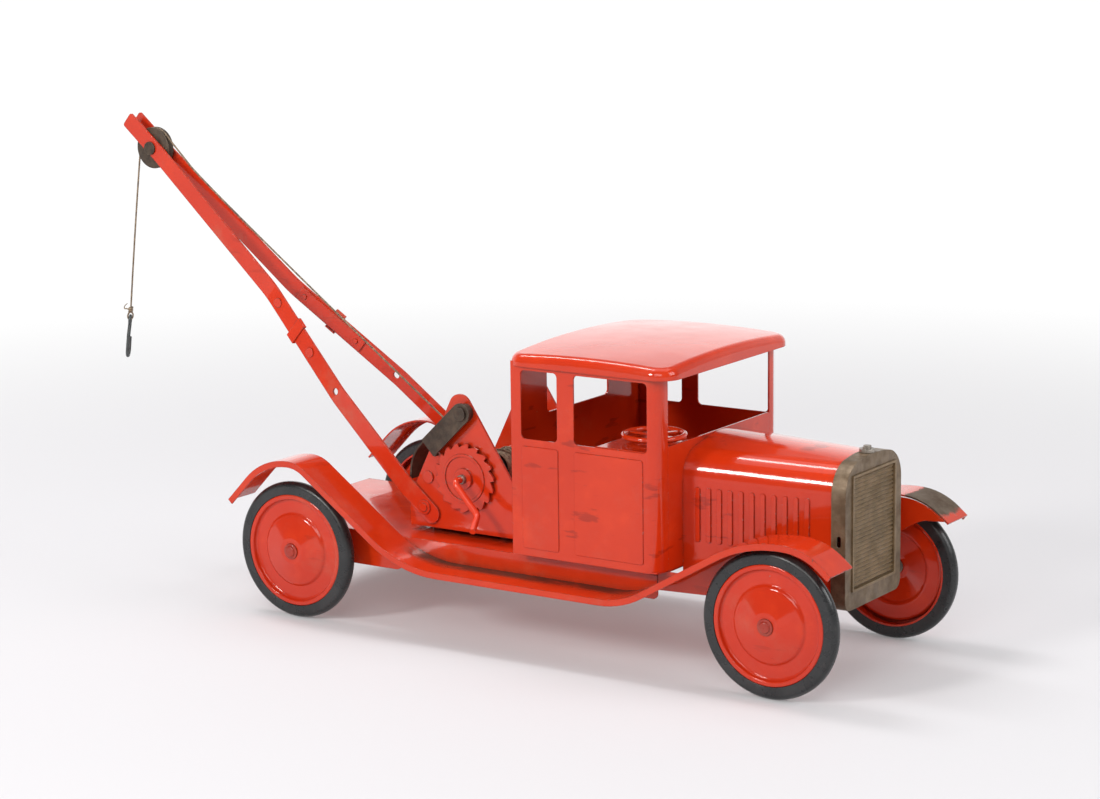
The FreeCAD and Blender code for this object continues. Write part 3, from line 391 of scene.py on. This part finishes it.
def nurbs(points):
    """The smooth line of a route: a NURBS spline with the route's points as control points."""
    data = bpy.data.curves.new("route", "CURVE")
    data.dimensions = "3D"
    data.resolution_u = ROUTE_STEPS
    spline = data.splines.new("NURBS")
    spline.points.add(len(points) - 1)
    for point, at in zip(spline.points, points):
        point.co = (*at, 1)
    spline.order_u = 3
    spline.use_endpoint_u = True
    holder = bpy.data.objects.new("route", data)
    scene.collection.objects.link(holder)
    bpy.context.view_layer.update()
    line = bpy.data.meshes.new_from_object(holder.evaluated_get(bpy.context.evaluated_depsgraph_get()))
    found = [v.co.copy() for v in line.vertices]
    bpy.data.objects.remove(holder)
    return found


def even(line, spacing):
    """The same line with points at an even spacing."""
    lengths = [0.0]
    for a, b in zip(line, line[1:]):
        lengths.append(lengths[-1] + (b - a).length)
    count = max(2, round(lengths[-1] / spacing))
    made, k = [], 0
    for i in range(count + 1):
        at = lengths[-1] * i / count
        while k < len(line) - 2 and lengths[k + 1] < at:
            k += 1
        share = (at - lengths[k]) / max(lengths[k + 1] - lengths[k], 1e-9)
        made.append(line[k].lerp(line[k + 1], min(max(share, 0), 1)))
    return made


def frames(line):
    """A point, a direction and two steady cross directions along a line."""
    side = None
    for i, at in enumerate(line):
        ahead = (line[min(i + 1, len(line) - 1)] - line[max(i - 1, 0)]).normalized()
        if side is None:
            side = ahead.orthogonal().normalized()
        side = (side - ahead * side.dot(ahead)).normalized()
        yield at, ahead, side, ahead.cross(side)


def tube(mesh, line, radius, sides=8):
    """Adds a closed round tube along a line. radius may be a number, or a function of 0 to 1."""
    rings = []
    for i, (at, _, side, other) in enumerate(frames(line)):
        r = radius(i / (len(line) - 1)) if callable(radius) else radius
        rings.append([mesh.verts.new(at + (side * math.cos(t) + other * math.sin(t)) * r)
                      for t in (2 * math.pi * k / sides for k in range(sides))])
    for low, high in zip(rings, rings[1:]):
        for k in range(sides):
            mesh.faces.new((low[k], low[(k + 1) % sides], high[(k + 1) % sides], high[k]))
    mesh.faces.new(rings[0][::-1])
    mesh.faces.new(rings[-1])


def finished(name, mesh, body, look):
    """A smooth-shaded piece made of a bmesh."""
    bmesh.ops.recalc_face_normals(mesh, faces=mesh.faces)
    data = bpy.data.meshes.new(name)
    mesh.to_mesh(data)
    mesh.free()
    data.polygons.foreach_set("use_smooth", [True] * len(data.polygons))
    data.materials.append(look)
    return link(name, data, body)


CORD_RADIUS = 0.0006
TWIST, TWIST_STEP = 0.0042, 0.0005


def twisted(mesh, line, strands=3):
    """String: strands laid round each other, together as thick as the cord."""
    thin = CORD_RADIUS * 0.54
    reach = CORD_RADIUS - thin
    spun = [[] for _ in range(strands)]
    for i, (at, _, side, other) in enumerate(frames(even(line, TWIST_STEP))):
        for k in range(strands):
            turn = 2 * math.pi * (i * TWIST_STEP / TWIST + k / strands)
            spun[k].append(at + (side * math.cos(turn) + other * math.sin(turn)) * reach)
    for strand in spun:
        tube(mesh, strand, thin, 6)


# ---------------------------------------------------------------- cord

DRUM_LEAVE = (0.00461, 0.0075, 0.07928)
SLACK = (-0.20488, 0.00038, 0.23528)
PULLEY_NEAR = (-0.23200, 0.00032, 0.26152)
PULLEY_CORNERS = [(-0.24253, 0, 0.27171), (-0.25638, 0, 0.26688)]
PULLEY_FALL = (-0.25733, 0, 0.25961)
HANG_MIDDLE = (-0.26429, 0, 0.21211)
HANG_END = (-0.27091, 0, 0.15650)
KNOT = Vector((-0.27116, 0, 0.15461))
DOWN = Vector((-0.130526, 0, -0.991445))


def make_string(name, route, node):
    """A length of twisted string along a route, in place of a CAD node, and its middle line."""
    line = nurbs(route)
    mesh = bmesh.new()
    twisted(mesh, line)
    piece = finished(name, mesh, "truck", STRING)
    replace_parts(piece, node)
    return piece, line


def make_cord():
    """The string from the drum over the pulley, and its end with the knot and hook on it."""
    run, line = make_string("string_run", [DRUM_LEAVE, SLACK, PULLEY_NEAR, *PULLEY_CORNERS,
                                           PULLEY_FALL], "cord_run")
    [tuple(p) for p in line]
    hanging, line = make_string("string_hanging", [PULLEY_FALL, HANG_MIDDLE, HANG_END],
                                "cord_hanging")
    [tuple(p) for p in line]
    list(make_knot())
    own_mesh(hanging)


def make_knot():
    """An overhand knot with a small loop under it and a short curled tail."""
    turns, wrap_height, wrap_radius, wrap_steps = 2.6, 0.0030, 0.00105, 60
    mesh = bmesh.new()
    wrap = []
    for i in range(wrap_steps + 1):
        t = 2 * math.pi * turns * i / wrap_steps
        drop = DOWN * (wrap_height * (i / wrap_steps - 0.8))
        wrap.append(KNOT + drop + Vector((math.cos(t), math.sin(t), 0)) * wrap_radius)
    tube(mesh, wrap, CORD_RADIUS * 0.95)
    across, loop_steps = Vector((0.5, 0.86, 0)).normalized(), 40
    ring = bmesh.new()
    loop = []
    for i in range(loop_steps + 1):
        t = 2 * math.pi * i / loop_steps
        loop.append(KNOT + DOWN * (0.0032 - 0.0024 * math.cos(t)) + across * 0.0017 * math.sin(t))
    tube(ring, loop, CORD_RADIUS * 0.85)
    tail = nurbs([KNOT, KNOT + Vector((-0.002, -0.001, 0.0016)), KNOT + Vector((-0.0045, -0.001, 0.0008)),
                  KNOT + Vector((-0.005, 0.0, 0.0030)), KNOT + Vector((-0.0036, 0.0012, 0.0042))])
    tube(mesh, tail, lambda t: CORD_RADIUS * (0.8 - 0.4 * t))
    knot = finished("string_knot", mesh, "knot", STRING)
    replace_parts(knot, "cord_knot")
    # the loop is threaded through the hook's eye, so it swings with the hook
    return knot, finished("string_loop", ring, "hook", STRING)


def make_windings():
    """The string on the drum: one even layer and a loose turn that crosses it."""
    low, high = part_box("drum_windings")
    centre = Vector([(a + b) / 2 for a, b in zip(low, high)])
    outer = (high[0] - low[0]) / 2
    reach = (high[1] - low[1]) / 2 - CORD_RADIUS
    turn_steps, pitch = 30, 2.15 * CORD_RADIUS
    steps = int(2 * reach / pitch) * turn_steps
    mesh = bmesh.new()
    line = []
    for i in range(steps + 1):
        t = 2 * math.pi * i / turn_steps
        y = -reach + 2 * reach * i / steps
        radius = outer - CORD_RADIUS + 0.00006 * math.sin(3.7 * t)
        line.append(centre + Vector((radius * math.cos(t), y, radius * math.sin(t))))
    tube(mesh, line, CORD_RADIUS)
    loose, loose_steps, loose_reach = [], 75, 0.0045
    for i in range(loose_steps + 1):
        t = 2 * math.pi * i / turn_steps - math.pi / 2
        radius = outer + CORD_RADIUS * 0.7
        y = loose_reach * math.sin(0.42 * t + 0.6)
        loose.append(centre + Vector((radius * math.cos(t), y, radius * math.sin(t))))
    tube(mesh, loose, CORD_RADIUS)
    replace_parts(finished("string_windings", mesh, "winch", STRING), "drum_windings")


make_cord()
make_windings()


# ---------------------------------------------------------------- floor and light

FLOOR_HALF, FLOOR_DROP = 12.0, 0.0002
FLOOR_PAPER = (0.56, 0.55, 0.57)
FADE_START, FADE_END = 0.35, 1.3
FLOOR_FILL = 0.17


def make_floor():
    """White paper that fades into an even white further off, and glows a little to soften shadows."""
    mesh = bmesh.new()
    bmesh.ops.create_grid(mesh, x_segments=8, y_segments=8, size=FLOOR_HALF)
    data = bpy.data.meshes.new("floor")
    mesh.to_mesh(data)
    mesh.free()
    floor = bpy.data.objects.new("floor", data)
    scene.collection.objects.link(floor)
    floor.location = (0, 0, cad_box[0][2] - FLOOR_DROP)
    paper = Finish("floor_paper")
    away = paper.add("ShaderNodeVectorMath", operation="LENGTH")
    paper.feed(away.inputs[0], paper.place)
    far = paper.step(away.outputs["Value"], FADE_START, FADE_END)
    glow = paper.step(away.outputs["Value"], FADE_START, FADE_END, FLOOR_FILL, 1.0)
    paper.set(Base_Color=paper.blend(far, FLOOR_PAPER, (0.0, 0.0, 0.0)), Roughness=0.8,
              Specular_IOR_Level=0.15, Emission_Color=(1.0, 1.0, 1.0, 1), Emission_Strength=glow)
    data.materials.append(paper.material)


def area(name, place, aim, size_x, size_y, power, colour=(1, 1, 1)):
    """A rectangular lamp at a place, turned towards aim."""
    data = bpy.data.lights.new(name, "AREA")
    data.shape = "RECTANGLE"
    data.size, data.size_y, data.energy, data.color = size_x, size_y, power, colour
    lamp = bpy.data.objects.new(name, data)
    scene.collection.objects.link(lamp)
    lamp.location = place
    lamp.rotation_euler = (Vector(aim) - Vector(place)).to_track_quat("-Z", "Y").to_euler()


ROOM_STRENGTH, WALL_STRENGTH = 0.24, 0.95
WALL_SIDE = (-0.557, 0.830, 0)
KEY_COLOUR = (1.0, 0.985, 0.96)


def smooth(tree, value, low, high, bottom, top):
    """Goes smoothly from bottom to top as value goes from low to high, in the world's nodes."""
    node = tree.nodes.new("ShaderNodeMapRange")
    node.interpolation_type = "SMOOTHSTEP"
    tree.links.new(value, node.inputs["Value"])
    for name, given in (("From Min", low), ("From Max", high), ("To Min", bottom), ("To Max", top)):
        node.inputs[name].default_value = given
    return node.outputs["Result"]


def make_world():
    """A white wall on the left rear side of the truck, and a dimmer room around it."""
    world = bpy.data.worlds.new("studio")
    scene.world = world
    world.use_nodes = True
    tree = world.node_tree
    back = tree.nodes["Background"]
    back.inputs["Color"].default_value = (1.0, 1.0, 1.0, 1)
    direction = tree.nodes.new("ShaderNodeTexCoord").outputs["Generated"]
    towards = tree.nodes.new("ShaderNodeVectorMath")
    towards.operation = "DOT_PRODUCT"
    towards.inputs[1].default_value = WALL_SIDE
    tree.links.new(direction, towards.inputs[0])
    split = tree.nodes.new("ShaderNodeSeparateXYZ")
    tree.links.new(direction, split.inputs[0])
    light = tree.nodes.new("ShaderNodeMath")
    light.operation = "MULTIPLY_ADD"
    tree.links.new(smooth(tree, towards.outputs["Value"], 0.1, 0.8, 0, WALL_STRENGTH), light.inputs[0])
    tree.links.new(smooth(tree, split.outputs["Z"], 0.28, 0.62, 1, 0), light.inputs[1])
    light.inputs[2].default_value = ROOM_STRENGTH
    tree.links.new(light.outputs["Value"], back.inputs["Strength"])


def make_lamps():
    """Soft boxes above and in front, a narrow strip that edges the hood and roof, and a small key."""
    area("overhead", (-0.1, 0.15, 1.7), (0, 0, 0), 1.6, 1.2, 8)
    area("top_strip", (-0.78, 0.05, 1.6), (-0.2, 0, 0), 0.22, 0.9, 10)
    area("key_box", (-0.5, -1.8, 1.1), (0, 0, 0.1), 0.38, 0.38, 20, KEY_COLOUR)
    area("front_box", (0.75, -1.75, 1.3), (0, 0, 0.1), 1.3, 0.9, 14, KEY_COLOUR)
    area("right_box", (1.7, 0.2, 1.1), (0, 0, 0.05), 0.9, 0.9, 14)


make_floor()
make_world()
make_lamps()
scene.view_settings.view_transform = "Standard"
